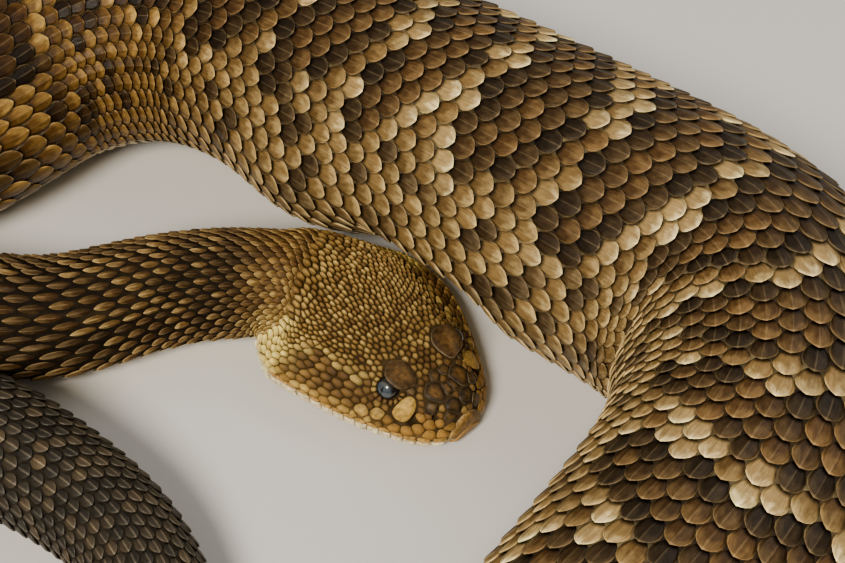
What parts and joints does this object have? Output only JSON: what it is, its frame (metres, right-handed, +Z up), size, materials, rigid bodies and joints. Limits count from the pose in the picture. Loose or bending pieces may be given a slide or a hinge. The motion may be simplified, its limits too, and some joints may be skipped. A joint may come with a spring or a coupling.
{
  "type": "coiled rattlesnake",
  "caption": "Heavy-bodied rattlesnake at life size, lying in a loose flat coil on its belly with its head resting in the inner bend and its tail curled in front.",
  "frame": {"origin": "on the floor, at the middle of the bounding box of the whole coil", "axes": "+Z up from the floor the belly lies on; +X along the coil's longest side, towards its sharp bend; +Y across the coil, away from the tail"},
  "size_m": [0.4014, 0.3598, 0.0705],
  "materials": {
    "crown_scales": "small dull keeled scales, olive brown",
    "lip_scales": "smooth satin lip scales, ochre above and cream below",
    "neck_scales": "narrow keeled scales, orange brown on charcoal skin",
    "body_scales": "broad satin keeled scales, dark brown blotches edged with cream",
    "tail_scales": "keeled scales, near black with pale keels",
    "rattle_horn": "dry translucent horn, satin",
    "eye": "wet clear spectacle over a grey brown iris with an upright pupil"
  },
  "bodies": {
    "root": {"head": "crown_scales", "lower_jaw": "lip_scales", "eye_left": "eye", "eye_right": "eye", "neck": "neck_scales", "trunk_1": "body_scales", "trunk_2": "body_scales", "trunk_3": "body_scales", "trunk_4": "body_scales", "trunk_5": "body_scales", "trunk_6": "body_scales", "trunk_7": "body_scales", "trunk_8": "body_scales", "trunk_9": "body_scales", "trunk_10": "body_scales", "trunk_11": "body_scales", "tail_1": "tail_scales", "tail_2": "tail_scales", "rattle": "rattle_horn"}
  },
  "joints": []
}
